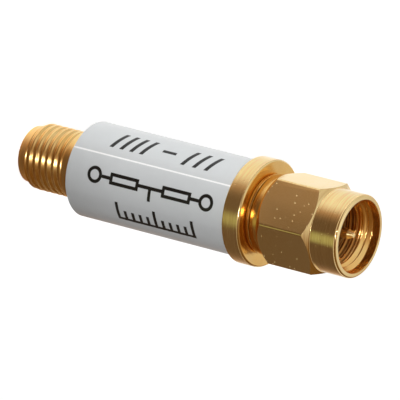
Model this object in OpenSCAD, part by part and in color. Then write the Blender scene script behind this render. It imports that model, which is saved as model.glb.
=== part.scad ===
// In-line coaxial attenuator: a threaded jack at the foot, a labelled barrel, and a plug with a
// free-spinning hexagon coupling nut at the top. The axis is +Z and the jack's end face is at z = 0.

/* [Jack end] */
// Outside diameter of the jack's thread, over its crests
jack_thread_d = 6.3; // [6.1:0.05:6.5]
// Length of the threaded stretch, entry chamfer included
jack_thread_len = 4.65; // [4.2:0.05:6]
// Diameter of the smooth lip ahead of the thread
jack_lip_d = 5.36; // [5.1:0.02:5.6]
// Length of the lip
jack_lip_len = 0.75; // [0.4:0.05:1.2]
// Diameter of the smooth collar behind the thread
jack_collar_d = 6.4; // [6.3:0.05:6.8]
// Length of the collar
jack_collar_len = 1.4; // [1:0.05:2.5]
// How far the collar's end is turned down where it meets the barrel
jack_undercut = 0.25; // [0.1:0.05:0.4]
// Diameter of the bore that takes the mating sleeve
jack_bore_d = 4.6; // [4.4:0.02:4.8]
// Depth of that bore, down to the flush insulator
jack_bore_depth = 1.9; // [1.5:0.05:2.4]

/* [Barrel] */
// Outside diameter of the bare barrel
barrel_d = 8.8; // [8.5:0.1:9.4]
// Length of the barrel
barrel_len = 17.86; // [16:0.1:24]
// Thickness of the barrel's tube wall
barrel_wall = 0.7; // [0.5:0.05:0.9]
// Thickness of the barrel's end wall at the jack
barrel_end_t = 1.5; // [1:0.1:2.5]
// Chamfer on the barrel's outer edges
barrel_chamfer = 0.12; // [0.05:0.01:0.2]

/* [Label] */
// Thickness of the label film
label_t = 0.1; // [0.05:0.01:0.15]
// Bare barrel left at the jack end of the label
label_margin = 0.14; // [0.12:0.01:0.5]
// Bare barrel left between the label and the flange
label_gap = 0.13; // [0.05:0.01:0.5]
// Width of the stretch where the label overlaps itself
label_overlap = 4; // [2:0.5:6]
// Thickness of the overlapping tongue, pressed thin
label_tongue_t = 0.05; // [0.03:0.01:0.1]
// Direction of the overlap's showing edge, seen along +Z
label_seam_angle = 251.5; // [0:0.5:360]

/* [Plug end] */
// Diameter of the flange
flange_d = 10; // [9.6:0.1:11]
// Thickness of the flange, chamfer included
flange_t = 1.88; // [1.4:0.02:2.6]
// Chamfer on the flange's front edge
flange_chamfer = 0.28; // [0.1:0.02:0.5]
// Diameter of the hub that the nut turns on
hub_d = 5.5; // [5.4:0.02:5.6]
// Length of the hub in front of the flange
hub_len = 3.86; // [3.5:0.02:5]
// Diameter of the sleeve that enters the mating jack
sleeve_d = 4.58; // [4.5:0.01:4.6]
// Length of the sleeve in front of the hub
sleeve_len = 3; // [2.4:0.05:3.6]
// Depth that each connector shell reaches into the barrel's bore
spigot_len = 4.16; // [3:0.02:5]
// Depth of the jack shell's seat in the barrel's bore
jack_seat_len = 2.5; // [2:0.1:4]

/* [Coupling nut] */
// Width across the flats of the hexagon
nut_af = 7.94; // [7.9:0.02:8.2]
// Length of the nut
nut_len = 9.5; // [9.2:0.05:11]
// Gap between the flange and the nut at rest
nut_gap = 0.26; // [0.1:0.02:0.5]
// Diameter of the turned collar at the nut's rear
nut_collar_d = 7.5; // [7.2:0.05:7.8]
// Length of that collar
nut_collar_len = 0.85; // [0.5:0.05:1.2]
// Diameter of the round nose in front of the hexagon
nut_nose_d = 7.74; // [7.5:0.02:7.88]
// Length of the nose
nut_nose_len = 2.82; // [2:0.05:4]
// How much the six edges of the hexagon are turned down
nut_corner_break = 0.04; // [0.02:0.01:0.1]
// Angle of the chamfer between the hexagon's corners and the nose, from the end face
nut_nose_slope = 35; // [25:1:50]
// Edge break on turned ends of the nut, hub, sleeve and jack
edge_break = 0.12; // [0.05:0.01:0.15]
// Bore of the nut's thread, at its crests
nut_thread_d = 5.7; // [5.6:0.05:5.9]
// Diameter of the smooth mouth in front of the thread
nut_mouth_d = 6.8; // [6.4:0.02:7]
// Depth of the mouth
nut_mouth_depth = 0.8; // [0.4:0.05:1.2]
// Diameter of the relief behind the thread
nut_relief_d = 6.5; // [6.3:0.05:6.8]
// Length of the relief
nut_relief_len = 0.7; // [0.4:0.05:1]
// Direction of one corner of the hexagon, seen along +Z
nut_corner_angle = 285; // [0:1:360]

/* [Retaining ring] */
// Thickness of the spring ring that holds the nut on the hub
ring_t = 0.5; // [0.3:0.05:0.6]
// Outside diameter of the ring
ring_d = 6.7; // [6.6:0.02:6.8]
// Radial width of the ring
ring_w = 0.95; // [0.85:0.01:1]
// Opening of the ring
ring_opening = 1.2; // [0.6:0.1:2]
// Height of the ring over the flange at rest
ring_height = 2; // [1.6:0.05:2.4]
// Axial play of the nut and its ring on the hub
nut_float = 0.3; // [0.1:0.02:0.5]

/* [Contacts and insulators] */
// Diameter of both contacts' bodies
contact_d = 1.27; // [1.2:0.01:1.3]
// Diameter of the plug's pin
pin_d = 0.92; // [0.9:0.01:0.94]
// Length of the pin in front of the sleeve's end
pin_len = 2.3; // [2:0.05:2.6]
// Length of the pin's tapered point
pin_point_len = 0.5; // [0.3:0.05:0.8]
// Diameter at the end of the point
pin_point_d = 0.42; // [0.2:0.02:0.6]
// Diameter of the hole in the jack's socket contact
socket_d = 0.94; // [0.92:0.01:1]
// Depth of that hole
socket_depth = 3; // [2.4:0.1:4]
// Width of the four slits in the socket
slit_w = 0.2; // [0.1:0.02:0.3]
// Length of the slits
slit_len = 2.4; // [1.5:0.1:3]
// Diameter of the barb that locks each contact in its insulator
barb_d = 1.8; // [1.6:0.05:2.2]
// Length of the barb
barb_len = 0.5; // [0.3:0.05:1]
// Diameter of the flattened tail that lies on the chip
tail_d = 0.9; // [0.6:0.05:1]
// Length of the tail
tail_len = 1.9; // [1.4:0.05:2.4]
// Diameter of the insulators, and of the shells' bores
insulator_d = 4.1; // [4:0.02:4.3]
// How far the plug's insulator lies back from the sleeve's end
plug_recess = 2.4; // [0:0.1:2.8]
// Diameter of the shoulder at each insulator's inner end
shoulder_d = 4.8; // [4.6:0.05:5.4]
// Length of the shoulder
shoulder_len = 1.6; // [1:0.05:2]

/* [Attenuator chip] */
// Width of the ceramic chip
chip_w = 4.2; // [3.8:0.05:4.6]
// Thickness of the ceramic
chip_t = 0.5; // [0.25:0.05:0.6]
// Free length left between the chip and each insulator
chip_end_gap = 0.5; // [0.3:0.05:0.9]
// Thickness of the printed film
film_t = 0.03; // [0.02:0.01:0.06]
// Width of the signal pads at the chip's ends
pad_w = 1; // [0.6:0.05:1.4]
// Length of the signal pads
pad_len = 1.6; // [1:0.1:2]
// Width of the ground stripes along the chip's edges
ground_w = 0.5; // [0.35:0.05:0.6]
// Width of the resistive film between the pads
film_w = 2; // [1.4:0.1:2.6]
// Radius of the air channel round the chip
channel_r = 1.6; // [1.45:0.05:1.65]

/* [Clearances] */
// Radial running clearance between the nut and the hub
run_clear = 0.05; // [0.02:0.01:0.08]
// Clearance between pieces that are seated in each other
seat_clear = 0.02; // [0.01:0.005:0.04]
// Room for the socket's four fingers to spread
finger_clear = 0.08; // [0.05:0.01:0.15]

/* [Hidden] */
$fn = 96;
// Overlap of cutting solids past the faces that they cut
cut = 1;

// Heights along the axis, from the jack's face up
jack_thread_z = jack_lip_len;
jack_collar_z = jack_thread_z + jack_thread_len;
barrel_z = jack_collar_z + jack_collar_len;
jack_seat_z = barrel_z + barrel_end_t;
carrier_z0 = jack_seat_z + jack_seat_len;
flange_z = barrel_z + barrel_len;
carrier_z1 = flange_z - spigot_len;
flange_front = flange_z + flange_t;
hub_end = flange_front + hub_len;
sleeve_end = hub_end + sleeve_len;
pin_end = sleeve_end + pin_len;
nut_z = flange_front + nut_gap;
nut_end = nut_z + nut_len;
ring_z = flange_front + ring_height;
barb_z0 = jack_seat_z - barb_len;
barb_z1 = flange_z;

// Radii that fit each other
barrel_r = barrel_d / 2;
bore_r = barrel_r - barrel_wall;
spigot_r = bore_r - seat_clear;
jack_neck_r = jack_collar_d / 2 - jack_undercut;
insulator_r = insulator_d / 2;
contact_r = contact_d / 2;
tail_r = tail_d / 2;
label_r = barrel_r + label_t;
ring_in_r = ring_d / 2 - ring_w;
hub_groove_r = ring_in_r - run_clear;
nut_groove_r = ring_d / 2 + run_clear;
nut_bore_r = hub_d / 2 + run_clear;

// Corner-to-corner radius of the hexagon
nut_corner_r = nut_af / 2 / cos(30);

GOLD = "#d9a441";
BRONZE = "#b8893a";
FILM = "#c9cccd";
PTFE = "#f1efe8";
ALUMINA = "#e8e6df";

// A solid of revolution from an outline of [radius, height] points
module turned(outline) {
    rotate_extrude() polygon(outline);
}

// A plain drilling from one height to another
module drilling(r, z0, z1) {
    translate([0, 0, z0]) cylinder(r = r, h = z1 - z0);
}

// Tube that the two connector shells and the chip sit in
module barrel() {
    color(GOLD) difference() {
        turned([
            [0, barrel_z],
            [barrel_r - barrel_chamfer, barrel_z],
            [barrel_r, barrel_z + barrel_chamfer],
            [barrel_r, flange_z],
            [0, flange_z],
        ]);
        drilling(jack_neck_r + seat_clear, barrel_z - cut, flange_z);
        drilling(bore_r, jack_seat_z, flange_z + cut);
    }
}

// Jack: threaded outside, with a stepped bore for the sleeve, the insulator and its shoulder
module female_shell() {
    chamfer = (jack_thread_d - jack_lip_d) / 2;
    color(GOLD) difference() {
        turned([
            [0, 0],
            [jack_lip_d / 2 - edge_break, 0],
            [jack_lip_d / 2, edge_break],
            [jack_lip_d / 2, jack_thread_z],
            [jack_thread_d / 2, jack_thread_z + chamfer],
            [jack_thread_d / 2, jack_collar_z],
            [jack_collar_d / 2, jack_collar_z],
            [jack_collar_d / 2, barrel_z - jack_undercut],
            [jack_neck_r, barrel_z],
            [jack_neck_r, jack_seat_z],
            [spigot_r, jack_seat_z],
            [spigot_r, carrier_z0],
            [0, carrier_z0],
        ]);
        drilling(jack_bore_d / 2, -cut, jack_bore_depth);
        drilling(insulator_r, 0, carrier_z0 + cut);
        drilling(shoulder_d / 2, carrier_z0 - shoulder_len, carrier_z0 + cut);
    }
}

// Plug: spigot in the barrel, flange, grooved hub for the nut, and the sleeve
module male_shell() {
    color(GOLD) difference() {
        turned([
            [0, carrier_z1],
            [spigot_r, carrier_z1],
            [spigot_r, flange_z],
            [flange_d / 2, flange_z],
            [flange_d / 2, flange_front - flange_chamfer],
            [flange_d / 2 - flange_chamfer, flange_front],
            [hub_d / 2, flange_front],
            [hub_d / 2, ring_z - seat_clear],
            [hub_groove_r, ring_z - seat_clear],
            [hub_groove_r, ring_z + ring_t + nut_float + seat_clear],
            [hub_d / 2, ring_z + ring_t + nut_float + seat_clear],
            [hub_d / 2, hub_end - edge_break],
            [hub_d / 2 - edge_break, hub_end],
            [sleeve_d / 2, hub_end],
            [sleeve_d / 2, sleeve_end - edge_break],
            [sleeve_d / 2 - edge_break, sleeve_end],
            [0, sleeve_end],
        ]);
        drilling(insulator_r, carrier_z1, sleeve_end + cut);
        drilling(shoulder_d / 2, carrier_z1 - cut, carrier_z1 + shoulder_len);
    }
}

// What the lathe leaves of the nut's bar: rear collar, chamfered hexagon and round nose
module nut_turning() {
    collar_r = nut_collar_d / 2;
    nose_r = nut_nose_d / 2;
    nose_z = nut_end - nut_nose_len;
    collar_end = nut_z + nut_collar_len;
    edge_r = nut_corner_r - nut_corner_break;
    turned([
        [0, nut_z],
        [collar_r - edge_break, nut_z],
        [collar_r, nut_z + edge_break],
        [collar_r, collar_end],
        [edge_r, collar_end + edge_r - collar_r],
        [edge_r, nose_z - (edge_r - nose_r) * tan(nut_nose_slope)],
        [nose_r, nose_z],
        [nose_r, nut_end - edge_break],
        [nose_r - edge_break, nut_end],
        [0, nut_end],
    ]);
}

// The nut's inside: bearing on the hub, ring groove, relief, thread bore, 45 degree lead-in and mouth
module nut_bore() {
    relief_z = hub_end + run_clear;
    mouth_z = nut_end - nut_mouth_depth;
    mouth_r = nut_mouth_d / 2;
    thread_r = nut_thread_d / 2;
    drilling(nut_bore_r, nut_z - cut, relief_z + nut_relief_len);
    drilling(nut_groove_r, ring_z - seat_clear, ring_z + ring_t + seat_clear);
    drilling(nut_relief_d / 2, relief_z, relief_z + nut_relief_len);
    drilling(thread_r, relief_z, mouth_z);
    turned([
        [0, mouth_z - mouth_r + thread_r],
        [thread_r, mouth_z - mouth_r + thread_r],
        [mouth_r, mouth_z],
        [mouth_r, nut_end + cut],
        [0, nut_end + cut],
    ]);
}

// Hexagon coupling nut, free to spin on the plug's hub
module coupling_nut() {
    color(GOLD) difference() {
        intersection() {
            nut_turning();
            translate([0, 0, nut_z]) rotate(nut_corner_angle)
                cylinder(r = nut_corner_r, h = nut_len, $fn = 6);
        }
        nut_bore();
    }
}

// Open spring ring, half in the hub's groove and half in the nut's
module retaining_ring() {
    color(BRONZE) translate([0, 0, ring_z]) difference() {
        cylinder(r = ring_d / 2, h = ring_t);
        translate([0, 0, -cut]) cylinder(r = ring_in_r, h = ring_t + 2 * cut);
        translate([-ring_opening / 2, 0, -cut]) cube([ring_opening, ring_d, ring_t + 2 * cut]);
    }
}

// Printed film wrapped round the barrel, with a thin tongue where its ends overlap
module label() {
    z0 = barrel_z + label_margin;
    h = flange_z - label_gap - z0;
    tongue_angle = label_overlap / label_r * 180 / PI;
    color(FILM) translate([0, 0, z0]) {
        difference() {
            cylinder(r = label_r, h = h);
            translate([0, 0, -cut]) cylinder(r = barrel_r, h = h + 2 * cut);
        }
        rotate(label_seam_angle) rotate_extrude(angle = tongue_angle)
            translate([label_r - label_t / 2, 0]) square([label_t / 2 + label_tongue_t, h]);
    }
}

// Half-round tail of a contact, its flat side on the chip's pad and its root in the contact's body
module contact_tail(z0, z1) {
    intersection() {
        drilling(tail_r, z0, z1);
        translate([-tail_d, -tail_d, z0]) cube([2 * tail_d, tail_d, z1 - z0]);
    }
}

// Socket contact of the jack: drilled, slit in four, barbed, with a flattened tail
module female_contact() {
    z0 = jack_bore_depth;
    color(GOLD) union() {
        difference() {
            drilling(contact_r, z0, carrier_z0);
            drilling(socket_d / 2, z0 - cut, z0 + socket_depth);
            for (turn = [0, 90])
                rotate(turn) translate([-contact_d, -slit_w / 2, z0 - cut])
                    cube([2 * contact_d, slit_w, slit_len + cut]);
        }
        drilling(barb_d / 2, barb_z0, barb_z0 + barb_len);
        contact_tail(carrier_z0 - barb_len, carrier_z0 + tail_len);
    }
}

// Pin contact of the plug: pointed pin, barbed body and flattened tail
module male_contact() {
    color(GOLD) union() {
        turned([
            [0, carrier_z1],
            [contact_r, carrier_z1],
            [contact_r, barb_z1],
            [barb_d / 2, barb_z1],
            [barb_d / 2, barb_z1 + barb_len],
            [contact_r, barb_z1 + barb_len],
            [contact_r, sleeve_end],
            [pin_d / 2, sleeve_end],
            [pin_d / 2, pin_end - pin_point_len],
            [pin_point_d / 2, pin_end],
            [0, pin_end],
        ]);
        contact_tail(carrier_z1 - tail_len, carrier_z1 + barb_len);
    }
}

// White insulator in the jack, with a shoulder that keeps it from coming out
module female_insulator() {
    color(PTFE) difference() {
        union() {
            drilling(insulator_r, jack_bore_depth, carrier_z0);
            drilling(shoulder_d / 2 - seat_clear, carrier_z0 - shoulder_len + seat_clear, carrier_z0);
        }
        drilling(contact_r, jack_bore_depth - cut, carrier_z0 + cut);
        drilling(contact_r + finger_clear, jack_bore_depth - cut, jack_bore_depth + slit_len);
        drilling(barb_d / 2, barb_z0, barb_z0 + barb_len);
    }
}

// White insulator in the plug, set back from the sleeve's end
module male_insulator() {
    color(PTFE) difference() {
        union() {
            drilling(insulator_r, carrier_z1, sleeve_end - plug_recess);
            drilling(shoulder_d / 2 - seat_clear, carrier_z1, carrier_z1 + shoulder_len - seat_clear);
        }
        drilling(contact_r, carrier_z1 - cut, sleeve_end + cut);
        drilling(barb_d / 2, barb_z1, barb_z1 + barb_len);
    }
}

// Ceramic chip with its printed pads, ground stripes and resistive film, facing the tails
module attenuator_chip() {
    z0 = carrier_z0 + chip_end_gap;
    chip_len = carrier_z1 - chip_end_gap - z0;
    color(ALUMINA) translate([0, 0, z0]) union() {
        translate([-chip_w / 2, film_t, 0]) cube([chip_w, chip_t, chip_len]);
        for (z = [0, chip_len - pad_len])
            translate([-pad_w / 2, 0, z]) cube([pad_w, film_t, pad_len]);
        for (x = [-chip_w / 2, chip_w / 2 - ground_w])
            translate([x, 0, 0]) cube([ground_w, film_t, chip_len]);
        translate([-film_w / 2, film_t / 2, pad_len]) cube([film_w, film_t / 2, chip_len - 2 * pad_len]);
    }
}

// Half of the split block that grips the chip and grounds it, cut by the given half space
module carrier_half(front) {
    depth = film_t + chip_t;
    color(BRONZE) difference() {
        intersection() {
            drilling(spigot_r, carrier_z0, carrier_z1);
            translate([-barrel_d, front ? -2 * barrel_d : 0, carrier_z0])
                cube([2 * barrel_d, 2 * barrel_d, carrier_z1 - carrier_z0]);
        }
        drilling(channel_r, carrier_z0 - cut, carrier_z1 + cut);
        if (!front)
            translate([-chip_w / 2 - seat_clear, -cut, carrier_z0 - cut])
                cube([chip_w + 2 * seat_clear, cut + depth, carrier_z1 - carrier_z0 + 2 * cut]);
    }
}

// Half of the block over the printed side of the chip
module chip_carrier_front() {
    carrier_half(true);
}

// Half of the block with the recess that the chip lies in
module chip_carrier_rear() {
    carrier_half(false);
}

barrel();
female_shell();
male_shell();
coupling_nut();
retaining_ring();
label();
female_contact();
female_insulator();
male_contact();
male_insulator();
attenuator_chip();
chip_carrier_front();
chip_carrier_rear();
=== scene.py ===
"""Looks of the in-line coaxial attenuator: threaded jack, labelled barrel, plug with its coupling nut."""
import math

import bpy
from mathutils import Matrix, Vector


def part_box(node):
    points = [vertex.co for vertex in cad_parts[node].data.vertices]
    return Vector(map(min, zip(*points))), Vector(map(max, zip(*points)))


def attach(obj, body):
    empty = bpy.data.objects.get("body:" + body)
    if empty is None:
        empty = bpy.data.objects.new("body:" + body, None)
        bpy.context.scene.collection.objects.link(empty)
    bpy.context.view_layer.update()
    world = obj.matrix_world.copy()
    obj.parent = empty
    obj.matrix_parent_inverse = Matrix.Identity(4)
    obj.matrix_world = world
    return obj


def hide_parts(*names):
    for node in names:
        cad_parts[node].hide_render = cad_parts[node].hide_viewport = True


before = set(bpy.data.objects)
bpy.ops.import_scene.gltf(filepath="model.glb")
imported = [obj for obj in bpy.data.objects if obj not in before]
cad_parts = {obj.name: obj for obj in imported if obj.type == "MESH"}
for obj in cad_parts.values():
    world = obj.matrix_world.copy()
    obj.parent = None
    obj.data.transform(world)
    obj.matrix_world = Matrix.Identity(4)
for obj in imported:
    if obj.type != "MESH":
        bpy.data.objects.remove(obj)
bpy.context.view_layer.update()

bl_info = {
    "name": "Coaxial attenuator",
    "version": (1, 0, 0),
    "blender": (4, 5, 0),
    "location": "View3D > Sidebar > Attenuator",
    "description": "Builds the looks of an in-line coaxial attenuator round its packed solids",
    "category": "Object",
}

MM = 0.001
BARREL_LOW, BARREL_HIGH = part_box("barrel")
NUT_LOW, NUT_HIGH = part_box("coupling_nut")
PLUG_LOW, PLUG_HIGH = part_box("male_shell")
JACK_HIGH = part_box("female_shell")[1]
LABEL_LOW, LABEL_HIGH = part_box("label")
FULL_TURN = 2 * math.pi
LATHE_STEPS = 160
# Points closer than a tenth of a micrometre are merged
MERGE_DISTANCE = 1e-7
# Edges that turn by more than this are rounded
ROUNDED_FROM = math.radians(25)
# Extra corners stand this many roundings from an edge, to hold the shading of the run beside it
HOLD_REACH = 3


def length(name, description, millimetres):
    """A length property whose default is given in millimetres."""
    return bpy.props.FloatProperty(
        name=name, description=description, default=millimetres * MM, precision=5,
        subtype="DISTANCE", unit="LENGTH",
    )


def direction(name, description, degrees):
    """An angle property whose default is given in degrees."""
    return bpy.props.FloatProperty(
        name=name, description=description, default=math.radians(degrees), subtype="ANGLE"
    )


def amount(name, description, value):
    """A property for a plain number."""
    return bpy.props.FloatProperty(name=name, description=description, default=value)


def linear(hex_colour):
    """Linear red, green, blue and alpha of an sRGB hex colour."""
    channels = [int(hex_colour[i : i + 2], 16) / 255 for i in (1, 3, 5)]
    curve = [c / 12.92 if c <= 0.04045 else ((c + 0.055) / 1.055) ** 2.4 for c in channels]
    return (*curve, 1.0)


def colour(name, description, hex_colour):
    """A colour property whose default is an sRGB hex value."""
    return bpy.props.FloatVectorProperty(
        name=name, description=description, default=linear(hex_colour),
        size=4, min=0, max=1, subtype="COLOR",
    )


class AttenuatorSizes(bpy.types.PropertyGroup):
    """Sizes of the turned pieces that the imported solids' boxes don't give."""

    pitch: length("Thread pitch", "Distance from crest to crest, 36 to the inch", 25.4 / 36)
    thread_d: length("Jack thread", "Diameter over the jack's crests", 6.3)
    thread_depth: length("Thread depth", "Depth of the jack's rounded thread from crest to root", 0.2)
    lip_d: length("Lip diameter", "Diameter of the smooth lip ahead of the thread", 5.36)
    lip_len: length("Lip length", "Length of the lip", 0.75)
    collar_d: length("Collar diameter", "Diameter of the smooth collar behind the thread", 6.4)
    collar_len: length("Collar length", "Length of the collar", 1.4)
    undercut: length("Undercut", "How far the collar's end is turned down at the barrel", 0.25)
    jack_bore_d: length("Jack bore", "Bore that takes the mating sleeve", 4.6)
    jack_bore_depth: length("Jack bore depth", "Depth of that bore", 1.9)
    shell_bore_d: length("Shell bore", "Bore of both shells round their insulators", 4.1)
    shoulder_d: length("Shoulder bore", "Wider bore at the shells' inner ends", 4.8)
    shoulder_len: length("Shoulder length", "Length of the wider bore", 1.6)
    barrel_end: length("Barrel end wall", "Thickness of the barrel's wall at the jack", 1.5)
    barrel_wall: length("Barrel wall", "Thickness of the barrel's tube", 0.7)
    flange_t: length("Flange thickness", "Thickness of the flange", 1.88)
    flange_chamfer: length("Flange chamfer", "Chamfer on the flange's front edge", 0.15)
    pad_t: length("Pad height", "Height of the raised ring that the nut's collar stands off", 0.18)
    hub_d: length("Hub diameter", "Diameter that the nut turns on", 5.5)
    hub_len: length("Hub length", "Length of the hub in front of the flange", 3.86)
    sleeve_d: length("Sleeve diameter", "Diameter of the sleeve inside the nut", 4.58)
    ring_height: length("Ring height", "Height of the retaining ring over the flange", 2.0)
    ring_t: length("Ring thickness", "Thickness of the retaining ring", 0.5)
    nut_float: length("Nut float", "Axial play of the nut on the hub", 0.3)
    hub_groove_d: length("Hub groove", "Diameter of the hub's ring groove", 4.7)
    nut_groove_d: length("Nut groove", "Diameter of the nut's ring groove", 6.8)
    seat: length("Seat clearance", "Clearance between seated pieces", 0.02)
    running: length("Running clearance", "Radial clearance of the nut on the hub", 0.05)
    nut_flats: length("Across flats", "Width across the nut's flats", 7.94)
    nut_edge_round: length("Hexagon edge", "Rounding along the six edges of the hexagon", 0.15)
    nut_collar_d: length("Nut collar", "Diameter of the collar at the nut's rear", 7.5)
    nut_collar_len: length("Nut collar length", "Length of that collar", 0.85)
    nose_d: length("Nose diameter", "Diameter of the round nose", 7.74)
    nose_len: length("Nose length", "Length of the round nose", 2.82)
    nut_thread_d: length("Nut bore", "Bore of the nut's thread at its crests", 5.7)
    mouth_d: length("Mouth diameter", "Diameter of the smooth mouth", 6.8)
    mouth_depth: length("Mouth depth", "Depth of the mouth", 0.8)
    # Painted shade: below this depth the nut's bore is painted dark
    painted_shade_depth: length("Bright depth", "How far down the nut's bore the plating is bright", 2.1)
    nut_thread_depth: length("Nut thread depth", "Depth of the nut's thread, less than its relief", 0.36)
    relief_d: length("Relief diameter", "Relief behind the nut's thread", 6.5)
    relief_len: length("Relief length", "Length of the relief", 0.7)
    rim_round: length("Rim rounding", "Rounding of the nose's outer edge", 0.25)
    edge: length("Edge break", "Chamfer on turned ends", 0.12)
    fine_round: length("Fine rounding", "Rounding that plating leaves on every turned edge", 0.03)
    label_t: length("Label thickness", "Thickness of the label film", 0.1)
    tongue_t: length("Tongue thickness", "Height of the label's overlapping end", 0.05)
    tongue_width: length("Tongue width", "Width of the overlap", 4.0)
    seam_cut: length("Seam cut", "Width of the slanting cut along that edge", 0.16)
    seam_direction: direction("Seam", "Direction of the overlap's showing edge", 251.5)
    ink_t: length("Ink thickness", "Height of the printed marks over the film", 0.006)


class AttenuatorColours(bpy.types.PropertyGroup):
    """Colours of the finishes."""

    gold: colour("Gold plate", "Gold over bright brass", "#f6dfa6")
    gold_warm: colour("Thin gold", "Where the plating is thinner and warmer", "#f0cf8c")
    # Painted reflection: the orange of gold mirrored in gold, painted on faces that stand close together and
    # used for the thread's warm patches
    painted_reflection_gold: colour("Recessed gold", "Deeper gold where turned faces stand close together", "#e6aa48")
    # Painted reflection: the orange inside the nut's mouth, where gold mirrors more gold
    bore_painted_reflection: colour("Bore gold", "Warm gold inside the nut", "#f7b85c")
    # Serves the tool rings and the painted shade far down the nut's bore
    rings_and_painted_shade_gold: colour("Tool rings", "Deeper gold in the tool rings and far down the nut", "#b98343")
    film: colour("Label film", "Grey polyester film", "#d3d6d7")
    film_edge: colour("Label mottle", "Slightly darker patches of the film", "#cccfd0")
    # Painted highlight: near white along the seam's cut, so that the edge shows as a bright line
    seam_highlight: colour("Film cut", "White core of the film, bare along its cut", "#fbfbfa")
    ink: colour("Ink", "Black thermal print", "#100f0e")
    ptfe: colour("PTFE", "White insulator", "#efece4")
    alumina: colour("Alumina", "Fired ceramic", "#e3e0d8")
    bronze: colour("Spring bronze", "Bare bronze", "#c08a4a")
    floor: colour("Floor", "Matt white table", "#f4f4f3")
    room: colour("Room", "Warm front of the room, as the metal shows it", "#f0b464")
    shade: colour("Shade", "Warm shade in front of the part", "#5d4c3c")
    half_shade: colour("Half shade", "Warm edge of that shade", "#a37d5f")
    # Painted light: the pale strip in the shade that the metal mirrors as a lighter band
    strip: colour("Strip", "Pale strip in that shade", "#b1b789")


def sizes():
    return bpy.context.scene.attenuator_sizes


def colours():
    return bpy.context.scene.attenuator_colours


# Modelling

def deselect():
    bpy.ops.object.select_all(action="DESELECT")


def edit(obj):
    """Makes one object active and opens it in edit mode, with everything selected."""
    deselect()
    obj.select_set(True)
    bpy.context.view_layer.objects.active = obj
    bpy.ops.object.mode_set(mode="EDIT")
    bpy.ops.mesh.select_all(action="SELECT")


def leave_edit():
    bpy.ops.object.mode_set(mode="OBJECT")


def apply_modifier(obj, kind, **settings):
    """Adds a modifier with its settings and applies it."""
    modifier = obj.modifiers.new(kind.title(), kind)
    for key, value in settings.items():
        setattr(modifier, key, value)
    deselect()
    obj.select_set(True)
    bpy.context.view_layer.objects.active = obj
    bpy.ops.object.modifier_apply(modifier=modifier.name)


def outline(name, corners):
    """A wire of (radius, height) corners in the XZ plane, extruded corner by corner from one point."""
    deselect()
    bpy.ops.mesh.primitive_plane_add(size=MM)
    obj = bpy.context.object
    obj.name = obj.data.name = name
    bpy.ops.object.mode_set(mode="EDIT")
    bpy.ops.mesh.select_mode(type="VERT")
    bpy.ops.mesh.select_all(action="SELECT")
    bpy.ops.mesh.merge(type="CENTER")
    place = Vector((0, 0, 0))
    for index, (radius, height) in enumerate(corners):
        step = Vector((radius, 0, height)) - place
        if index:
            bpy.ops.mesh.extrude_region_move(TRANSFORM_OT_translate={"value": step})
        else:
            bpy.ops.transform.translate(value=step)
        place += step
    leave_edit()
    return obj


def clean(obj):
    """Merges doubles and points every face outwards."""
    edit(obj)
    bpy.ops.mesh.remove_doubles(threshold=MERGE_DISTANCE)
    bpy.ops.mesh.normals_make_consistent(inside=False)
    leave_edit()


def held(corners, reach):
    """The outline with extra corners near both ends of each long run, which keep its shading straight."""
    made = [corners[0]]
    long_run = 4 * reach
    for start, end in zip(corners, corners[1:]):
        run = Vector(end) - Vector(start)
        if run.length > long_run:
            made.append(tuple(Vector(start) + run.normalized() * reach))
            made.append(tuple(Vector(end) - run.normalized() * reach))
        made.append(end)
    return made


def turned(name, corners, rounding=0.0):
    """A hollow lathe piece from a closed outline of (radius, height) corners, with its edges rounded."""
    corners = [*corners, corners[0]]
    obj = outline(name, held(corners, HOLD_REACH * rounding) if rounding else corners)
    edit(obj)
    bpy.ops.mesh.spin(steps=LATHE_STEPS, angle=FULL_TURN, center=(0, 0, 0), axis=(0, 0, 1))
    leave_edit()
    clean(obj)
    if rounding:
        apply_modifier(
            obj, "BEVEL", width=rounding, segments=2, limit_method="ANGLE", angle_limit=ROUNDED_FROM
        )
    return obj


def rounded_corner(radius, height, rounding, steps=5):
    """Corners of a rounded outer edge, from the wall up to the end face."""
    turn = [math.radians(90) * i / steps for i in range(steps + 1)]
    return [(radius - rounding * (1 - math.cos(t)), height - rounding * (1 - math.sin(t))) for t in turn]


def thread_profile(root, crest, pitch, steps=16):
    """Corners of one thread turn from root to root, rounded by the plating to a wave."""
    middle, swing = (crest + root) / 2, (crest - root) / 2
    shares = [index / steps for index in range(steps + 1)]
    return [(middle - swing * math.cos(FULL_TURN * share), pitch * share) for share in shares]


def threaded_rod(name, root, crest, pitch, low, turns):
    """A solid right-hand threaded rod, from one turn's profile carried up a helix by Screw."""
    obj = outline(name, [(r, z + low) for r, z in thread_profile(root, crest, pitch)])
    apply_modifier(
        obj, "SCREW", axis="Z", angle=FULL_TURN, screw_offset=pitch, iterations=turns,
        steps=LATHE_STEPS // 2, render_steps=LATHE_STEPS // 2,
        use_merge_vertices=True, merge_threshold=MERGE_DISTANCE,
    )
    middle = low + turns * pitch / 2
    for end in (-1, 1):
        edit(obj)
        bpy.ops.mesh.remove_doubles(threshold=MERGE_DISTANCE)
        bpy.ops.mesh.select_all(action="DESELECT")
        bpy.ops.mesh.select_mode(type="EDGE")
        bpy.ops.mesh.select_non_manifold()
        leave_edit()
        for edge in obj.data.edges:
            height = obj.data.vertices[edge.vertices[0]].co.z
            edge.select = edge.select and (height - middle) * end > 0
        bpy.ops.object.mode_set(mode="EDIT")
        bpy.ops.mesh.extrude_region_move()
        bpy.ops.mesh.merge(type="CENTER")
        leave_edit()
    clean(obj)
    return obj


def combine(obj, other, operation):
    """Cuts, joins or intersects one piece with another, which is then removed."""
    apply_modifier(obj, "BOOLEAN", object=other, operation=operation, solver="EXACT")
    bpy.data.objects.remove(other, do_unlink=True)
    clean(obj)


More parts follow.
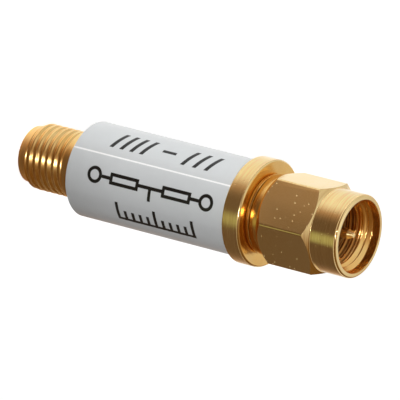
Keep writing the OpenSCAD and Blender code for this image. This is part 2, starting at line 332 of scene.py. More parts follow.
def finish_piece(obj, body, node, slot, *materials, angle=32):
    """Smooths a piece, gives it its materials, puts it under its body and hides its imported node; the slot
    is not used.
    """
    deselect()
    obj.select_set(True)
    bpy.context.view_layer.objects.active = obj
    bpy.ops.object.shade_smooth_by_angle(angle=math.radians(angle))
    for index, material in enumerate(materials):
        if index < len(obj.material_slots):
            obj.material_slots[index].material = material
        else:
            obj.data.materials.append(material)
    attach(obj, body)
    if node:
        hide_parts(node)


def film_radius(angle):
    """Radius of the label's face in one direction: higher where its end overlaps, sloping off past that."""
    s = sizes()
    outer = BARREL_HIGH.x + s.label_t
    tongue = s.tongue_width / outer
    slope = tongue / 4
    past = (angle - s.seam_direction) % FULL_TURN
    rising = 1.0 - (FULL_TURN - past) * outer / s.seam_cut
    falling = (tongue + slope - past) / slope
    return outer + s.tongue_t * max(0.0, min(1.0, max(rising, falling)))


# Materials

def add(tree, kind, settings=None, **links):
    """Adds a node, sets its settings, and links or sets its inputs by name or number."""
    made = tree.nodes.new(kind)
    for key, value in (settings or {}).items():
        setattr(made, key, value)
    for key, value in links.items():
        numbered = key[1:].isdigit()
        socket = made.inputs[int(key[1:]) if numbered else key.replace("_", " ")]
        if isinstance(value, bpy.types.NodeSocket):
            tree.links.new(value, socket)
        else:
            socket.default_value = value
    return made


def new_material(name):
    """A material with a Principled shader, and its tree, shader and object coordinates."""
    made = bpy.data.materials.new(name)
    made.use_nodes = True
    tree = made.node_tree
    shader = tree.nodes["Principled BSDF"]
    place = add(tree, "ShaderNodeTexCoord").outputs["Object"]
    return made, tree, shader, place


def per_metre(millimetres):
    """Scale of a pattern whose features are that many millimetres wide."""
    return 1 / (millimetres * MM)


def gold_plate(name, ring_tint, ring_depth, pit_depth, roughness, tones=("gold", "gold_warm")):
    """Gold plate over machined brass: tool rings along the axis, fine pits and a drifting tint."""
    drift_mm, ring_mm, pit_cell_mm, pit_share = 2.5, 0.09, 0.55, 0.15
    made, tree, shader, place = new_material(name)
    # The tint drifts over 2.5 mm, so no two faces have quite the same gold
    drift = add(tree, "ShaderNodeTexNoise", Vector=place, Scale=per_metre(drift_mm), Detail=3.0)
    plate = add(
        tree, "ShaderNodeMix", {"data_type": "RGBA"}, _0=drift.outputs["Fac"],
        _6=getattr(colours(), tones[0]), _7=getattr(colours(), tones[1]),
    )
    # Tool rings 0.09 mm apart, coarser than the real ones so that they show
    rings_at = add(tree, "ShaderNodeMapping", Vector=place, Scale=(0.02, 0.02, 1.0))
    rings = add(
        tree, "ShaderNodeTexNoise", Vector=rings_at.outputs[0], Scale=per_metre(ring_mm),
        Detail=2.0, Roughness=0.6,
    )
    ring_shade = add(
        tree, "ShaderNodeMapRange", Value=rings.outputs["Fac"],
        From_Min=0.35, From_Max=0.65, To_Min=0.0, To_Max=ring_tint,
    )
    base = add(
        tree, "ShaderNodeMix", {"data_type": "RGBA"}, _0=ring_shade.outputs[0],
        _6=plate.outputs[2], _7=colours().rings_and_painted_shade_gold,
    )
    tree.links.new(base.outputs[2], shader.inputs["Base Color"])
    shader.inputs["Metallic"].default_value = 1.0
    # The polish varies by a fifth with the tint
    haze = add(
        tree, "ShaderNodeMapRange", Value=drift.outputs["Fac"], To_Min=roughness * 0.8, To_Max=roughness * 1.2
    )
    tree.links.new(haze.outputs[0], shader.inputs["Roughness"])
    # Pits about 0.16 mm wide, one to the square millimetre, which catch the light as specks
    pits = add(tree, "ShaderNodeTexVoronoi", Vector=place, Scale=per_metre(pit_cell_mm), Randomness=1.0)
    pit_shape = add(
        tree, "ShaderNodeMapRange", Value=pits.outputs["Distance"], From_Min=0.0, From_Max=pit_share
    )
    ring_bump = add(
        tree, "ShaderNodeBump", Height=rings.outputs["Fac"], Strength=1.0, Distance=ring_depth * MM
    )
    pit_bump = add(
        tree, "ShaderNodeBump", Height=pit_shape.outputs[0], Normal=ring_bump.outputs[0],
        Strength=1.0, Distance=pit_depth * MM,
    )
    tree.links.new(pit_bump.outputs[0], shader.inputs["Normal"])
    return made


def label_film():
    """Grey polyester label film: smooth and semi-gloss, faintly mottled over the adhesive."""
    mottle_mm, ripple_mm = 1.2, 0.004
    made, tree, shader, place = new_material("grey_polyester_film")
    # Patches 1.2 mm wide, a shade apart, over ripples 0.004 mm high: a sheen that is not quite even
    mottle = add(tree, "ShaderNodeTexNoise", Vector=place, Scale=per_metre(mottle_mm), Detail=4.0)
    base = add(
        tree, "ShaderNodeMix", {"data_type": "RGBA"}, _0=mottle.outputs["Fac"],
        _6=colours().film, _7=colours().film_edge,
    )
    tree.links.new(base.outputs[2], shader.inputs["Base Color"])
    shader.inputs["Roughness"].default_value = 0.3
    shader.inputs["IOR"].default_value = 1.5
    bump = add(tree, "ShaderNodeBump", Height=mottle.outputs["Fac"], Strength=0.6, Distance=ripple_mm * MM)
    tree.links.new(bump.outputs[0], shader.inputs["Normal"])
    return made


def plain_finish(name, tone, roughness, grain_mm, grain_depth, metallic=0.0):
    """A matt or satin solid with a fine grain, an eighth darker in places, in its colour and surface."""
    made, tree, shader, place = new_material(name)
    tint = getattr(colours(), tone)
    grain = add(tree, "ShaderNodeTexNoise", Vector=place, Scale=per_metre(grain_mm), Detail=4.0)
    darker = [c * 0.88 for c in tint[:3]] + [1.0]
    base = add(tree, "ShaderNodeMix", {"data_type": "RGBA"}, _0=grain.outputs["Fac"], _6=tint, _7=darker)
    tree.links.new(base.outputs[2], shader.inputs["Base Color"])
    shader.inputs["Roughness"].default_value = roughness
    shader.inputs["Metallic"].default_value = metallic
    bump = add(tree, "ShaderNodeBump", Height=grain.outputs["Fac"], Strength=0.8, Distance=grain_depth * MM)
    tree.links.new(bump.outputs[0], shader.inputs["Normal"])
    return made


GOLD_FINISHES = {
    # Turned faces: bright gold, faintly streaked round the axis
    "gold_plate_turned": {"ring_tint": 0.25, "ring_depth": 0.0004, "pit_depth": 0.012, "roughness": 0.22},
    # Thread: the same gold with warm patches at random in the painted reflection orange, so that the crests
    # don't look drawn
    "gold_plate_thread": {
        "ring_tint": 0.2, "ring_depth": 0.0004, "pit_depth": 0.012, "roughness": 0.22,
        "tones": ("gold", "painted_reflection_gold"),
    },
    # Nut's mouth: painted reflection, orange as gold looks when its light comes off more gold
    "gold_plate_bore": {
        "ring_tint": 0.0, "ring_depth": 0.0004, "pit_depth": 0.006, "roughness": 0.25,
        "tones": ("bore_painted_reflection", "gold_warm"),
    },
    # Far down the nut: painted shade, brown and dark round the pin
    "gold_plate_deep": {
        "ring_tint": 0.0, "ring_depth": 0.0004, "pit_depth": 0.006, "roughness": 0.3,
        "tones": ("rings_and_painted_shade_gold", "rings_and_painted_shade_gold"),
    },
    # Faces that stand close together behind the nut: painted reflection, a saturated orange as gold mirrored
    # in gold looks
    "gold_plate_recess": {
        "ring_tint": 0.2, "ring_depth": 0.0004, "pit_depth": 0.012, "roughness": 0.18,
        "tones": ("painted_reflection_gold", "gold_warm"),
    },
    # Nut's nose: sharp, with the tool rings plain to see
    "gold_plate_nose": {"ring_tint": 0.35, "ring_depth": 0.0007, "pit_depth": 0.01, "roughness": 0.15},
    # Flats of the hexagon bar: not turned, so no rings, only specks
    "gold_plate_flats": {"ring_tint": 0.0, "ring_depth": 0.0, "pit_depth": 0.03, "roughness": 0.2},
}
PLAIN_FINISHES = {
    # Cut of the label film: a painted highlight, near white along the seam's slanting cut
    "white_film_core": {"tone": "seam_highlight", "roughness": 0.4, "grain_mm": 0.1, "grain_depth": 0.002},
    # Thermal print: black with a slight sheen
    "black_thermal_ink": {"tone": "ink", "roughness": 0.35, "grain_mm": 0.15, "grain_depth": 0.002},
    # PTFE: white, waxy and soft looking
    "white_ptfe": {"tone": "ptfe", "roughness": 0.5, "grain_mm": 0.3, "grain_depth": 0.004},
    # Alumina: off-white and dry
    "fired_alumina": {"tone": "alumina", "roughness": 0.6, "grain_mm": 0.12, "grain_depth": 0.004},
    # Bare bronze: brown metal with a satin grain
    "spring_bronze": {
        "tone": "bronze", "roughness": 0.3, "grain_mm": 0.2, "grain_depth": 0.003, "metallic": 1.0,
    },
    # Paper under the part: flat white without a highlight
    "matt_white_paper": {"tone": "floor", "roughness": 0.9, "grain_mm": 4.0, "grain_depth": 0.01},
}


def material(name):
    """The named finish, made the first time that it is asked for."""
    if name in bpy.data.materials:
        return bpy.data.materials[name]
    if name in GOLD_FINISHES:
        return gold_plate(name, **GOLD_FINISHES[name])
    if name in PLAIN_FINISHES:
        return plain_finish(name, **PLAIN_FINISHES[name])
    return label_film()


# Pieces

class ATTENUATOR_OT_jack(bpy.types.Operator):
    """Threaded jack with its lip, thread, collar and stepped bore"""

    bl_idname = "attenuator.jack"
    bl_label = "Jack shell"

    def execute(self, context):
        s = sizes()
        bore, shell_bore = s.jack_bore_d / 2, s.shell_bore_d / 2
        lip, crest = s.lip_d / 2, s.thread_d / 2
        collar_z = BARREL_LOW.z - s.collar_len
        overlap = s.pitch / 4
        outside = crest + s.pitch / 2
        front = turned("jack_front", [
            (bore, 0.0),
            (lip - s.edge, 0.0),
            (lip, s.edge),
            (lip, s.lip_len),
            (outside, s.lip_len + outside - lip),
            (outside, collar_z + overlap),
            (shell_bore, collar_z + overlap),
            (shell_bore, s.jack_bore_depth),
            (bore, s.jack_bore_depth),
        ])
        turns = math.ceil((collar_z + 2 * overlap) / s.pitch) + 2
        rod = threaded_rod("jack_rod", crest - s.thread_depth, crest, s.pitch, -s.pitch, turns)
        combine(front, rod, "INTERSECT")
        collar, neck = s.collar_d / 2, s.collar_d / 2 - s.undercut
        seat_z = BARREL_LOW.z + s.barrel_end
        spigot = JACK_HIGH.x
        shoulder = s.shoulder_d / 2
        rear = turned("jack_rear", [
            (shell_bore, collar_z),
            (collar, collar_z),
            (collar, BARREL_LOW.z - s.undercut),
            (neck, BARREL_LOW.z),
            (neck, seat_z),
            (spigot, seat_z),
            (spigot, JACK_HIGH.z),
            (shoulder, JACK_HIGH.z),
            (shoulder, JACK_HIGH.z - s.shoulder_len),
            (shell_bore, JACK_HIGH.z - s.shoulder_len),
        ], s.fine_round)
        combine(front, rear, "UNION")
        front.name = front.data.name = "jack_shell"
        finish_piece(front, "body", "female_shell", "gold_plate", material("gold_plate_thread"))
        return {"FINISHED"}


class ATTENUATOR_OT_barrel(bpy.types.Operator):
    """Bare tube under the label, of which the two ends show"""

    bl_idname = "attenuator.barrel"
    bl_label = "Barrel"

    def execute(self, context):
        s = sizes()
        outer = BARREL_HIGH.x
        hole = s.collar_d / 2 - s.undercut + s.seat
        bore = outer - s.barrel_wall
        tube = turned("barrel_tube", [
            (hole, BARREL_LOW.z),
            (outer - s.edge, BARREL_LOW.z),
            (outer, BARREL_LOW.z + s.edge),
            (outer, BARREL_HIGH.z),
            (bore, BARREL_HIGH.z),
            (bore, BARREL_LOW.z + s.barrel_end),
            (hole, BARREL_LOW.z + s.barrel_end),
        ], s.fine_round)
        finish_piece(tube, "body", "barrel", "gold_plate", material("gold_plate_turned"))
        return {"FINISHED"}


class ATTENUATOR_OT_plug(bpy.types.Operator):
    """Plug body: spigot, chamfered flange, grooved hub and sleeve"""

    bl_idname = "attenuator.plug"
    bl_label = "Plug body"

    def execute(self, context):
        s = sizes()
        flange, spigot = PLUG_HIGH.x, BARREL_HIGH.x - s.barrel_wall - s.seat
        flange_z = BARREL_HIGH.z
        front = flange_z + s.flange_t
        hub, sleeve, bore = s.hub_d / 2, s.sleeve_d / 2, s.shell_bore_d / 2
        groove, shoulder = s.hub_groove_d / 2, s.shoulder_d / 2
        pad = s.nut_collar_d / 2 - s.edge
        groove_low = front + s.ring_height - s.seat
        groove_high = front + s.ring_height + s.ring_t + s.nut_float + s.seat
        hub_end = front + s.hub_len
        plug = turned("plug_body", [
            (shoulder, PLUG_LOW.z),
            (spigot, PLUG_LOW.z),
            (spigot, flange_z),
            (flange - s.edge, flange_z),
            (flange, flange_z + s.edge),
            (flange, front - s.flange_chamfer),
            (flange - s.flange_chamfer, front),
            (pad, front),
            (pad, front + s.pad_t),
            (hub, front + s.pad_t),
            (hub, groove_low),
            (groove, groove_low),
            (groove, groove_high),
            (hub, groove_high),
            (hub, hub_end - s.edge),
            (hub - s.edge, hub_end),
            (sleeve, hub_end),
            (sleeve, PLUG_HIGH.z - s.edge),
            (sleeve - s.edge, PLUG_HIGH.z),
            (bore, PLUG_HIGH.z),
            (bore, PLUG_LOW.z + s.shoulder_len),
            (shoulder, PLUG_LOW.z + s.shoulder_len),
        ], s.fine_round)
        finish_piece(
            plug, "body", "male_shell", "gold_plate",
            material("gold_plate_turned"), material("gold_plate_recess"),
        )
        # Faces from the flange's front onwards get the painted reflection, orange as gold mirrored in the nut
        # and hub looks
        for face in plug.data.polygons:
            face.material_index = int(face.center.z > front - s.fine_round)
        return {"FINISHED"}


class ATTENUATOR_OT_nut(bpy.types.Operator):
    """Hexagon coupling nut: turned collar, chamfers and nose on a hexagon bar, tapped inside"""

    bl_idname = "attenuator.nut"
    bl_label = "Coupling nut"

    corner_direction: direction("Corner", "Direction of one corner of the hexagon", 285)
    rear_slope: direction("Rear chamfer", "Slope of the rear chamfer", 45)
    nose_slope: direction("Nose chamfer", "Slope of the chamfer at the nose", 35)
    # Places of the nut's finishes in its list of materials
    NOSE, FLATS, BORE, REAR, DEEP = range(5)

    def execute(self, context):
        s = sizes()
        low, high = NUT_LOW.z, NUT_HIGH.z
        corner = s.nut_flats / 2 / math.cos(math.radians(30))
        outside = corner + s.edge
        collar, nose, mouth = s.nut_collar_d / 2, s.nose_d / 2, s.mouth_d / 2
        nose_z, collar_z = high - s.nose_len, low + s.nut_collar_len
        bearing, relief, groove = s.hub_d / 2 + s.running, s.relief_d / 2, s.nut_groove_d / 2
        ring_z = BARREL_HIGH.z + s.flange_t + s.ring_height
        ring_low, ring_high = ring_z - s.seat, ring_z + s.ring_t + s.seat
        relief_low = BARREL_HIGH.z + s.flange_t + s.hub_len + s.running
        relief_high = relief_low + s.relief_len
        nut = turned("coupling_nut_gold", [
            (bearing, low),
            (collar - s.edge, low),
            (collar, low + s.edge),
            (collar, collar_z),
            (outside, collar_z + (outside - collar) * math.tan(self.rear_slope)),
            (outside, nose_z - (outside - nose) * math.tan(self.nose_slope)),
            (nose, nose_z),
            *rounded_corner(nose, high, s.rim_round),
            (mouth, high),
            (mouth, high - s.mouth_depth),
            (bearing, high - s.mouth_depth - mouth + bearing),
            (bearing, relief_high),
            (relief, relief_high),
            (relief, relief_low),
            (bearing, relief_low),
            (bearing, ring_high),
            (groove, ring_high),
            (groove, ring_low),
            (bearing, ring_low),
        ], s.fine_round)
        bar = self.hexagon_bar(corner, low - s.mouth_depth, high + s.mouth_depth)
        combine(nut, bar, "INTERSECT")
        crest = s.nut_thread_d / 2
        tap_low = relief_low + s.relief_len / 3
        turns = math.ceil((high - s.mouth_depth - tap_low) / s.pitch)
        tap = threaded_rod("tap", crest, crest + s.nut_thread_depth, s.pitch, tap_low - s.pitch / 2, turns)
        combine(nut, tap, "DIFFERENCE")
        finish_piece(
            nut, "nut", "coupling_nut", "gold_plate",
            material("gold_plate_nose"), material("gold_plate_flats"),
            material("gold_plate_bore"), material("gold_plate_recess"), material("gold_plate_deep"),
        )
        self.mark_faces(nut)
        return {"FINISHED"}

    def hexagon_bar(self, corner, low, high):
        """A hexagon prism with its six long edges rounded."""
        deselect()
        bpy.ops.mesh.primitive_cylinder_add(
            vertices=6, radius=corner, depth=high - low, location=(0, 0, (low + high) / 2),
            rotation=(0, 0, self.corner_direction - math.radians(90)),
        )
        bar = bpy.context.object
        bpy.ops.object.transform_apply(location=True, rotation=True, scale=True)
        edit(bar)
        bpy.ops.mesh.select_mode(type="EDGE")
        bpy.ops.mesh.select_all(action="DESELECT")
        leave_edit()
        points = bar.data.vertices
        for edge in bar.data.edges:
            ends = [points[i].co for i in edge.vertices]
            edge.select = abs(ends[0].z - ends[1].z) > (high - low) / 2
        bpy.ops.object.mode_set(mode="EDIT")
        bpy.ops.mesh.bevel(offset=sizes().nut_edge_round, segments=4)
        leave_edit()
        return bar

    def mark_faces(self, nut):
        """Gives the flats a finish of their own; the inside gets a painted reflection in orange, its deep
        part a painted shade and the rear collar a painted reflection in orange.
        """
        s = sizes()
        upright = 0.01
        for face in nut.data.polygons:
            out = face.normal.dot(face.center)
            if abs(face.normal.z) < upright and abs(out - s.nut_flats / 2) < s.fine_round:
                face.material_index = self.FLATS
            elif face.center.xy.length < s.mouth_d / 2 + s.fine_round and face.center.z < NUT_HIGH.z - s.edge:
                # Near the mouth the bore gets the painted reflection, further down the painted shade
                deep = face.center.z < NUT_HIGH.z - s.painted_shade_depth
                face.material_index = self.DEEP if deep else self.BORE
            # The rear collar gets the painted reflection of the faces close behind it
            elif face.center.z < NUT_LOW.z + s.nut_collar_len:
                face.material_index = self.REAR


class ATTENUATOR_OT_label(bpy.types.Operator):
    """Grey film wrapped round the barrel, with the step where its end overlaps"""

    bl_idname = "attenuator.label"
    bl_label = "Label"

    around: bpy.props.IntProperty(name="Steps", description="Steps round the label", default=360, min=90)

    def execute(self, context):
        s = sizes()
        outer = BARREL_HIGH.x + s.label_t
        deselect()
        bpy.ops.mesh.primitive_circle_add(vertices=self.around, radius=outer, location=(0, 0, 0))
        film = bpy.context.object
        film.name = film.data.name = "label_film_wrap"
        for point in film.data.vertices:
            angle = math.atan2(point.co.y, point.co.x)
            point.co *= film_radius(angle) / outer
            point.co.z = LABEL_LOW.z
        edit(film)
        bpy.ops.mesh.extrude_region_move(TRANSFORM_OT_translate={"value": (0, 0, LABEL_HIGH.z - LABEL_LOW.z)})
        leave_edit()
        clean(film)
        apply_modifier(film, "SOLIDIFY", thickness=s.label_t, offset=-1)
        # Only the film's rims turn far enough to be rounded, not its seam
        rim_turn = math.radians(50)
        apply_modifier(
            film, "BEVEL", width=s.label_t / 5, segments=2, limit_method="ANGLE", angle_limit=rim_turn
        )
        finish_piece(
            film, "body", "label", "label_film",
            material("grey_polyester_film"), material("white_film_core"), angle=20,
        )
        self.mark_cut(film)
        return {"FINISHED"}

    def mark_cut(self, film):
        """Gives the slanting cut along the overlap's edge the second material, a near-white painted
        highlight.
        """
        s = sizes()
        outer = BARREL_HIGH.x + s.label_t
        for face in film.data.polygons:
            past = (math.atan2(face.center.y, face.center.x) - s.seam_direction) % FULL_TURN
            on_cut = (FULL_TURN - past) * outer < s.seam_cut
            face.material_index = int(on_cut and face.center.xy.length > outer)


class ATTENUATOR_OT_print(bpy.types.Operator):
    """Black marks on the label: slanted bars, a drawn chain of resistors and a row of ticks"""

    bl_idname = "attenuator.print"
    bl_label = "Label print"

    upper_row: direction("Upper row", "Direction of the slanted bars", 226)
    middle_row: direction("Middle row", "Direction of the resistor chain", 276)
    lower_row: direction("Lower row", "Direction of the ticks", 315)
    stroke: length("Stroke", "Width of the printed strokes", 0.32)
    row_height: length("Row height", "Height of the marks round the barrel", 2.0)
    ring_r: length("Ring radius", "Radius of the printed rings", 0.8)
    slant: amount("Slant", "Lean of the slanted bars", 0.35)
    cuts: bpy.props.IntProperty(name="Cuts", description="Cuts that let a mark follow the barrel", default=9)

    def execute(self, context):
        self.print_row("print_bars", self.upper_row, self.slanted_bars())
        self.print_row("print_resistors", self.middle_row, self.resistor_chain())
        self.print_row("print_ticks", self.lower_row, self.ticks())
        return {"FINISHED"}

    def slanted_bars(self):
        """Four leaning bars, a dash and three more leaning bars."""
        first_four, step_of_four = 11.0 * MM, 1.1 * MM
        first_three, step_of_three = 18.9 * MM, 1.3 * MM
        dash, dash_len = 16.6 * MM, 1.5 * MM
        places = [first_four + step_of_four * index for index in range(4)]
        places += [first_three + step_of_three * index for index in range(3)]
        made = [self.bar(place, self.stroke * 1.3, 0.0, self.row_height, self.slant) for place in places]
        made.append(self.bar(dash, dash_len, 0.0, self.stroke))
        return made

    def resistor_chain(self):
        """Two open boxes in a line between two rings, with a short stub hanging from the middle."""
        low_ring, low_box, high_box, high_ring = 10.1 * MM, 13.4 * MM, 19.2 * MM, 22.5 * MM
        box_len, box_width, stub_len = 3.2 * MM, 1.1 * MM, 1.4 * MM
        made = [self.ring(low_ring), self.ring(high_ring)]
        for place in (low_box, high_box):
            made.append(self.bar(place, box_len, 0.0, box_width, border=self.stroke))
        wires = (
            (low_ring + self.ring_r, low_box - box_len / 2),
            (low_box + box_len / 2, high_box - box_len / 2),
            (high_box + box_len / 2, high_ring - self.ring_r),
        )
        for start, end in wires:
            made.append(self.bar((start + end) / 2, end - start, 0.0, self.stroke))
        middle = (low_box + high_box) / 2
        made.append(self.bar(middle, self.stroke, -stub_len / 2, stub_len - self.stroke))
        return made

    def ticks(self):
        """A scale of ticks, every fifth one long, on a base line."""
        middle, step, count = 16.85 * MM, 0.838 * MM, 11
        span = step * (count - 1)
        foot = self.stroke - self.row_height / 2
        made = [self.bar(middle, span + self.stroke, foot - self.stroke / 2, self.stroke)]
        for index in range(count):
            tall = self.row_height * (1.0 if index % 5 == 0 else 0.6)
            place = middle - span / 2 + index * step
            made.append(self.bar(place, self.stroke, foot + (tall - self.stroke) / 2, tall - self.stroke))
        return made

    def bar(self, along, long, across, wide, lean=0.0, border=0.0):
        """A flat printed bar, or the border of one, laid out with X round the barrel and Y along it."""
        deselect()
        bpy.ops.mesh.primitive_plane_add(size=1.0)
        made = bpy.context.object
        made.scale = (wide, long, 1.0)
        bpy.ops.object.transform_apply(location=False, rotation=False, scale=True)
        edit(made)
        if border:
            bpy.ops.mesh.inset(thickness=border)
            bpy.ops.mesh.delete(type="FACE")
            bpy.ops.mesh.select_all(action="SELECT")
        bpy.ops.mesh.subdivide(number_cuts=self.cuts)
        leave_edit()
        for point in made.data.vertices:
            point.co.y += along + lean * point.co.x
            point.co.x += across
        return made

    def ring(self, along):
        """A flat printed ring."""
        deselect()
        bpy.ops.mesh.primitive_circle_add(vertices=40, radius=self.ring_r, location=(0, 0, 0))
        made = bpy.context.object
        edit(made)
        bpy.ops.mesh.extrude_region_move()
        inner = 1 - self.stroke / self.ring_r
        bpy.ops.transform.resize(value=(inner, inner, 1.0))
        leave_edit()
        for point in made.data.vertices:
            point.co.y += along
        return made

    def print_row(self, name, middle, marks):
        """Joins a row's marks, lays them on the film and gives the ink its thickness."""
        deselect()
        for mark in marks:
            mark.select_set(True)
        bpy.context.view_layer.objects.active = marks[0]
        bpy.ops.object.join()
        row = bpy.context.object
        row.name = row.data.name = name
        face = film_radius(middle)
        for point in row.data.vertices:
            angle = middle - point.co.x / face
            radius = film_radius(angle)
            point.co = (radius * math.cos(angle), radius * math.sin(angle), point.co.y)
        clean(row)
        apply_modifier(row, "SOLIDIFY", thickness=2 * sizes().ink_t, offset=0.0)
        clean(row)
        finish_piece(row, "body", None, "label_film", material("black_thermal_ink"))


class ATTENUATOR_OT_inner(bpy.types.Operator):
    """Finishes of the pin, socket, insulators and hidden pieces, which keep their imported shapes"""

    bl_idname = "attenuator.inner"
    bl_label = "Inner pieces"

    def execute(self, context):
        finishes = {
            "male_contact": "gold_plate_turned",
            "female_contact": "gold_plate_turned",
            "male_insulator": "white_ptfe",
            "female_insulator": "white_ptfe",
            "retaining_ring": "spring_bronze",
            "attenuator_chip": "fired_alumina",
            "chip_carrier_front": "spring_bronze",
            "chip_carrier_rear": "spring_bronze",
        }
        for node, finish in finishes.items():
            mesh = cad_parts[node].data
            mesh.materials.clear()
            mesh.materials.append(material(finish))
        return {"FINISHED"}


class ATTENUATOR_OT_stage(bpy.types.Operator):
    """White table, soft lamps and the camera at the photograph's angle"""

    bl_idname = "attenuator.stage"
    bl_label = "Stage"

    # Directions across the paper from the part, and the cosines between which each one fades:
    # the shaded front, the shaded side and a pale strip between them
    shaded_front, front_fan = (0.437, -0.9, 0.0), (-0.1, 0.8)
    shaded_side, side_fan = (1.0, 0.0, 0.0), (0.1, 1.0)
    # The pale strip is painted light on the shaded paper
    pale_strip, strip_fan = (0.5, -0.866, 0.0), (0.93, 0.99)
    # The backdrop is brightest above the part, behind it and to its lit side
    bright_side, bright_fan = (-0.58, 0.4, 0.71), (0.2, 0.62)
    half_shade: amount("Half shade", "Share of white in the warm half shade", 0.43)
    white_reach: length("White reach", "How far the white paper reaches past the part's axis", 1.0)
    shade_radius: length("Shade", "How far the shade reaches", 80)
    shade_edge: length("Shade edge", "Width of the shade's soft edge", 50)
    glow_level: amount("Glow", "Strength of the white paper, 1 is white", 0.78)
    room_level: amount("Room", "Even light of the room", 0.2)
    front_level: amount("Front", "How bright the room's front looks", 0.22)
    backdrop_level: amount("Backdrop", "How white the backdrop looks", 0.8)

    def execute(self, context):
        self.floor()
        self.world()
        self.lamps()
        self.camera()
        context.scene.view_settings.view_transform = "Standard"
        return {"FINISHED"}

    def floor(self):
        """A large matt white table top under the jack's face."""
        deselect()
        bpy.ops.mesh.primitive_plane_add(size=3.0, location=(0, 0, 0))
        table = bpy.context.object
        table.name = table.data.name = "table_top"
        table.data.materials.append(self.white_sheet())

    def white_sheet(self):
        """Matt white paper, which metal sees shaded in front of the part, as if a dark card stood there."""
        made = material("matt_white_paper")
        tree = made.node_tree
        place = add(tree, "ShaderNodeTexCoord").outputs["Object"]
        away = add(tree, "ShaderNodeVectorMath", {"operation": "LENGTH"}, _0=place).outputs["Value"]
        rise, fall = (0.0, 1.0), (1.0, 0.0)
        behind = self.fan(tree, place, away, self.shaded_front, self.front_fan, fall)
        beside = self.fan(tree, place, away, self.shaded_side, self.side_fan, fall)
        strip_width = self.fan(tree, place, away, self.pale_strip, self.strip_fan, rise)
        strip_start = self.ramp(tree, away, (self.shade_edge / 4, self.shade_edge / 2), rise)
        strip = self.blend(tree, "MULTIPLY", strip_width, strip_start)
        outside = self.ramp(tree, away, (self.shade_radius, self.shade_radius + self.shade_edge), rise)
        lit = self.blend(tree, "MULTIPLY", behind, beside)
        camera = add(tree, "ShaderNodeLightPath").outputs["Is Camera Ray"]
        field = self.blend(tree, "MAXIMUM", self.blend(tree, "MAXIMUM", lit, outside), camera)
        white = [self.glow_level] * 3 + [1.0]
        glow = add(tree, "ShaderNodeValToRGB", Fac=field)
        glow.color_ramp.elements[0].color = colours().shade
        glow.color_ramp.elements.new(self.half_shade).color = colours().half_shade
        glow.color_ramp.elements[2].color = white
        # Painted light: a pale strip within the shade, which only the metal sees
        on_strip = self.blend(tree, "SUBTRACT", strip, field)
        shown = self.mixed(tree, on_strip, glow.outputs["Color"], colours().strip)
        # Painted shade: the paper itself is dark where metal sees the shade, for every ray but the camera's
        paper = self.mixed(tree, field, colours().shade, colours().floor)
        shader = tree.nodes["Principled BSDF"]
        tree.links.new(paper, shader.inputs["Base Color"])
        tree.links.new(shown, shader.inputs["Emission Color"])
        tree.links.new(self.seen(tree), shader.inputs["Emission Strength"])
        return made

    def mixed(self, tree, share, first, second):
        """A colour between two, by the share of the second."""
        return add(tree, "ShaderNodeMix", {"data_type": "RGBA"}, _0=share, _6=first, _7=second).outputs[2]

    def blend(self, tree, operation, first, second):
        """The outcome of one sum on two values."""
        return add(tree, "ShaderNodeMath", {"operation": operation}, _0=first, _1=second).outputs[0]

    def ramp(self, tree, value, between, levels):
        """A value carried smoothly from one pair of limits to another."""
        return add(
            tree, "ShaderNodeMapRange", {"interpolation_type": "SMOOTHSTEP"}, Value=value,
            From_Min=between[0], From_Max=between[1], To_Min=levels[0], To_Max=levels[1],
        ).outputs[0]

    def fan(self, tree, place, away, direction, between, levels):
        """A level that changes with the direction from the part, between two cosines."""
        along = add(tree, "ShaderNodeVectorMath", {"operation": "DOT_PRODUCT"}, _0=place, _1=direction)
        past = self.blend(tree, "SUBTRACT", along.outputs["Value"], self.white_reach)
        return self.ramp(tree, self.blend(tree, "DIVIDE", past, away), between, levels)

    def seen(self, tree):
        """1 for the camera's own rays and for those that metal or glass sends on, 0 for the rest."""
        ray = add(tree, "ShaderNodeLightPath").outputs
        sent_on = self.blend(tree, "MAXIMUM", ray["Is Glossy Ray"], ray["Is Transmission Ray"])
        return self.blend(tree, "MAXIMUM", ray["Is Camera Ray"], sent_on)

    def world(self):
        """A dim room, white to the camera, whose backdrop is bright in the metal too."""
        room = bpy.data.worlds.new("white_backdrop")
        room.use_nodes = True
        tree = room.node_tree
        backdrop = tree.nodes["Background"]
        heading = add(tree, "ShaderNodeTexCoord").outputs["Generated"]
        facing = add(
            tree, "ShaderNodeVectorMath", {"operation": "DOT_PRODUCT"}, _0=heading, _1=self.bright_side
        )
        bright = self.ramp(tree, facing.outputs["Value"], self.bright_fan, (0.0, 1.0))
        ray = add(tree, "ShaderNodeLightPath").outputs
        plain = self.blend(tree, "SUBTRACT", 1.0, ray["Is Glossy Ray"])
        whiteness = self.blend(tree, "MAXIMUM", bright, plain)
        tint = self.mixed(tree, whiteness, colours().room, linear("#ffffff"))
        tree.links.new(tint, backdrop.inputs["Color"])
        graded = add(
            tree, "ShaderNodeMix", {"data_type": "FLOAT"},
            _0=bright, _2=self.front_level, _3=self.backdrop_level,
        )
        shown = add(
            tree, "ShaderNodeMix", {"data_type": "FLOAT"},
            _0=self.seen(tree), _2=self.room_level, _3=graded.outputs[0],
        )
        strength = self.blend(tree, "MAXIMUM", shown.outputs[0], ray["Is Camera Ray"])
        tree.links.new(strength, backdrop.inputs["Strength"])
        bpy.context.scene.world = room

    def lamp(self, name, kind, at, towards, power, mirrored=True, **settings):
        """A lamp at a place in millimetres, turned towards another, which metal may or may not mirror."""
        light = bpy.data.lights.new(name, kind)
        light.energy = power
        for key, value in settings.items():
            setattr(light, key, value)
        made = bpy.data.objects.new(name, light)
        bpy.context.scene.collection.objects.link(made)
        place, aim = Vector(at) * MM, Vector(towards) * MM
        turn = (aim - place).to_track_quat("-Z", "Y").to_matrix().to_4x4()
        made.matrix_world = Matrix.Translation(place) @ turn
        made.visible_camera = False
        made.visible_glossy = mirrored

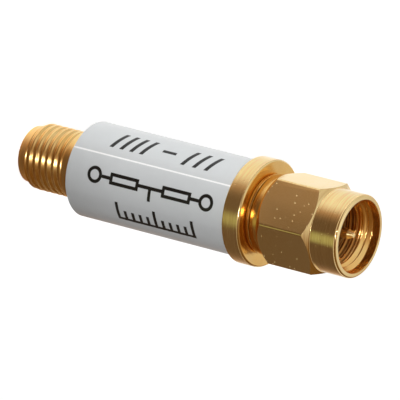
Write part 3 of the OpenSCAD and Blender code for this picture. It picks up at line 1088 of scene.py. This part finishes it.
    def lamps(self):
        """A weak top light, a long low softbox on the lit side and a narrow spot from beside the camera."""
        self.lamp(
            "top_fill", "AREA", at=(-60, 160, 420), towards=(0, 0, 10), power=0.07,
            shape="RECTANGLE", size=0.3, size_y=0.3,
        )
        self.lamp(
            "side_box", "AREA", at=(-560, -130, 40), towards=(0, 0, 20), power=3.3, mirrored=False,
            shape="RECTANGLE", size=1.0, size_y=0.075,
        )
        self.lamp(
            "front_spot", "SPOT", at=(95, -420, 285), towards=(0, 0, 18), power=5.5,
            spot_size=math.radians(4.4), spot_blend=0.3, shadow_soft_size=0.012,
        )

    def camera(self):
        """A long lens 57.6 degrees off the axis, rolled so that the standing part seems to lie."""
        off_axis, roll = math.radians(57.6), math.radians(14.4)
        towards = Vector((0, -math.sin(off_axis), math.cos(off_axis)))
        along = Vector((0, math.cos(off_axis), math.sin(off_axis)))
        upward = Vector((-1, 0, 0))
        right = math.cos(roll) * along + math.sin(roll) * upward
        up = math.cos(roll) * upward - math.sin(roll) * along
        look_at = Vector((0.356, 0, 18.96)) * MM
        distance = 500 * MM
        lens = bpy.data.cameras.new("photo_camera")
        lens.sensor_width = 36
        lens.lens = 493.2
        lens.clip_start, lens.clip_end = 0.01, 10
        made = bpy.data.objects.new("photo_camera", lens)
        bpy.context.scene.collection.objects.link(made)
        turn = Matrix((right, up, towards)).transposed().to_4x4()
        made.matrix_world = Matrix.Translation(look_at + towards * distance) @ turn
        bpy.context.scene.camera = made


class ATTENUATOR_PT_panel(bpy.types.Panel):
    """Lists the attenuator's pieces and its stage"""

    bl_idname = "ATTENUATOR_PT_panel"
    bl_label = "Coaxial attenuator"
    bl_space_type = "VIEW_3D"
    bl_region_type = "UI"
    bl_category = "Attenuator"

    def draw(self, context):
        for operator in PIECES:
            self.layout.operator(operator.bl_idname)
        self.layout.prop(context.scene.attenuator_sizes, "pitch")
        self.layout.prop(context.scene.attenuator_colours, "gold")


PIECES = (
    ATTENUATOR_OT_jack,
    ATTENUATOR_OT_barrel,
    ATTENUATOR_OT_plug,
    ATTENUATOR_OT_nut,
    ATTENUATOR_OT_label,
    ATTENUATOR_OT_print,
    ATTENUATOR_OT_inner,
    ATTENUATOR_OT_stage,
)
CLASSES = (AttenuatorSizes, AttenuatorColours, *PIECES, ATTENUATOR_PT_panel)


def register():
    for cls in CLASSES:
        bpy.utils.register_class(cls)
    bpy.types.Scene.attenuator_sizes = bpy.props.PointerProperty(type=AttenuatorSizes)
    bpy.types.Scene.attenuator_colours = bpy.props.PointerProperty(type=AttenuatorColours)


def unregister():
    del bpy.types.Scene.attenuator_colours
    del bpy.types.Scene.attenuator_sizes
    for cls in reversed(CLASSES):
        bpy.utils.unregister_class(cls)


def main():
    register()
    bpy.ops.attenuator.jack()
    bpy.ops.attenuator.barrel()
    bpy.ops.attenuator.plug()
    bpy.ops.attenuator.nut()
    bpy.ops.attenuator.label()
    bpy.ops.attenuator.print()
    bpy.ops.attenuator.inner()
    bpy.ops.attenuator.stage()


if __name__ == "__main__":
    main()
